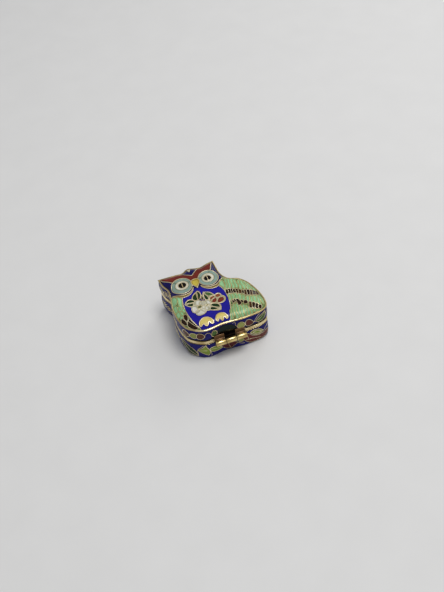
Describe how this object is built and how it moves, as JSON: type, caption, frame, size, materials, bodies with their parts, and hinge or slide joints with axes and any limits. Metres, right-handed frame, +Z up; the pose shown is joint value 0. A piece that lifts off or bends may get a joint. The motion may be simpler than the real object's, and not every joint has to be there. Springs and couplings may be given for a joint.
{
  "type": "cloisonne enamel box",
  "caption": "Small owl-shaped cloisonne enamel trinket box with a domed lid on a knuckle hinge, hollow inside.",
  "frame": {"origin": "on the underside, below the middle of the owl's outline", "axes": "+Z up through the lid, +Y towards the owl's ears, +X towards its large wing; the hinge runs along X on the -Y side"},
  "size_m": [0.046, 0.046, 0.0243],
  "materials": {
    "enamel": "glossy vitreous enamel on copper between gilt wires, deep blue with green, brown, white and red cells",
    "gilt": "polished gilt brass, softly worn",
    "copper": "gilt copper, browned where it was soldered"
  },
  "bodies": {
    "base": {"base_shell": "enamel", "base_band": "gilt", "hinge_knuckle_middle": "gilt", "hinge_pin": "gilt"},
    "lid": {"lid_shell": "enamel", "hinge_knuckle_left": "copper", "hinge_knuckle_right": "copper"}
  },
  "joints": [
    {"name": "lid_hinge", "type": "hinge", "parent": "base", "child": "lid", "pos_m": [0.001, -0.02304, 0.0113], "axis": [1, 0, 0], "range_deg": [0, 105]}
  ]
}
